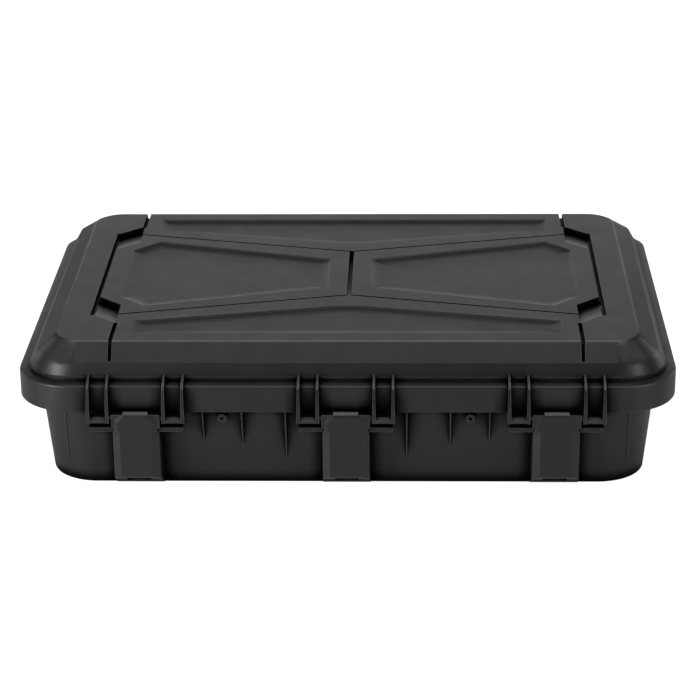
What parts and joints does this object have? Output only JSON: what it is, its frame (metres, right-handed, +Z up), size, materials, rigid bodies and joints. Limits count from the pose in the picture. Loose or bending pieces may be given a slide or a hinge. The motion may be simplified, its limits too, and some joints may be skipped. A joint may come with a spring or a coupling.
{
  "type": "waterproof hard case",
  "caption": "Wide, flat waterproof hard case with a hinged panelled lid, over-centre latches, a carry handle, a lid seal and foam lining.",
  "frame": {"origin": "on the floor under the middle of the case, which is the bottom centre of its bounding box", "axes": "+X along the long side, -Y towards the hinge side that the picture shows, +Z up"},
  "size_m": [0.8222, 0.586, 0.1855],
  "materials": {
    "case_plastic": "satin",
    "latch_plastic": "satin",
    "handle_plastic": "satin",
    "grip_rubber": "matte",
    "seal_rubber": "matte",
    "pin_steel": "satin",
    "pin_black": "satin",
    "foam": "matte"
  },
  "bodies": {
    "base": {"base_shell": "case_plastic", "base_foam": "foam", "hinge_pin_left": "pin_black", "hinge_pin_centre": "pin_black", "hinge_pin_right": "pin_black", "handle_pin_left": "pin_steel", "handle_pin_right": "pin_steel", "valve_body": "handle_plastic", "valve_seal": "seal_rubber", "lever_pin_1": "pin_steel", "lever_pin_2": "pin_steel", "lever_pin_3": "pin_steel", "lever_pin_4": "pin_steel"},
    "lid": {"lid_shell": "case_plastic", "lid_gasket": "seal_rubber", "lid_foam": "foam"},
    "handle": {"carry_handle": "handle_plastic", "handle_grip": "grip_rubber"},
    "lever_1": {"latch_lever_1": "latch_plastic", "hook_pin_1": "pin_steel"},
    "hook_1": {"latch_hook_1": "latch_plastic"},
    "lever_2": {"latch_lever_2": "latch_plastic", "hook_pin_2": "pin_steel"},
    "hook_2": {"latch_hook_2": "latch_plastic"},
    "lever_3": {"latch_lever_3": "latch_plastic", "hook_pin_3": "pin_steel"},
    "hook_3": {"latch_hook_3": "latch_plastic"},
    "lever_4": {"latch_lever_4": "latch_plastic", "hook_pin_4": "pin_steel"},
    "hook_4": {"latch_hook_4": "latch_plastic"}
  },
  "joints": [
    {"name": "lid_hinge", "type": "hinge", "parent": "base", "child": "lid", "pos_m": [0, -0.2865, 0.1], "axis": [1, 0, 0], "range_deg": [0, 100]},
    {"name": "handle_swing", "type": "hinge", "parent": "base", "child": "handle", "pos_m": [0, 0.272, 0.09], "axis": [1, 0, 0], "range_deg": [0, 90]},
    {"name": "lever_turn_1", "type": "hinge", "parent": "base", "child": "lever_1", "pos_m": [-0.29, 0.284, 0.092], "axis": [1, 0, 0], "range_deg": [0, 95]},
    {"name": "hook_turn_1", "type": "hinge", "parent": "lever_1", "child": "hook_1", "pos_m": [-0.29, 0.2855, 0.08], "axis": [1, 0, 0], "range_deg": [-115, 0]},
    {"name": "lever_turn_2", "type": "hinge", "parent": "base", "child": "lever_2", "pos_m": [-0.15, 0.284, 0.092], "axis": [1, 0, 0], "range_deg": [0, 95]},
    {"name": "hook_turn_2", "type": "hinge", "parent": "lever_2", "child": "hook_2", "pos_m": [-0.15, 0.2855, 0.08], "axis": [1, 0, 0], "range_deg": [-115, 0]},
    {"name": "lever_turn_3", "type": "hinge", "parent": "base", "child": "lever_3", "pos_m": [0.15, 0.284, 0.092], "axis": [1, 0, 0], "range_deg": [0, 95]},
    {"name": "hook_turn_3", "type": "hinge", "parent": "lever_3", "child": "hook_3", "pos_m": [0.15, 0.2855, 0.08], "axis": [1, 0, 0], "range_deg": [-115, 0]},
    {"name": "lever_turn_4", "type": "hinge", "parent": "base", "child": "lever_4", "pos_m": [0.29, 0.284, 0.092], "axis": [1, 0, 0], "range_deg": [0, 95]},
    {"name": "hook_turn_4", "type": "hinge", "parent": "lever_4", "child": "hook_4", "pos_m": [0.29, 0.2855, 0.08], "axis": [1, 0, 0], "range_deg": [-115, 0]}
  ],
  "couplings": [
    {"joint": "hook_turn_1", "follows": "lever_turn_1", "ratio": -1.2},
    {"joint": "hook_turn_2", "follows": "lever_turn_2", "ratio": -1.2},
    {"joint": "hook_turn_3", "follows": "lever_turn_3", "ratio": -1.2},
    {"joint": "hook_turn_4", "follows": "lever_turn_4", "ratio": -1.2}
  ]
}
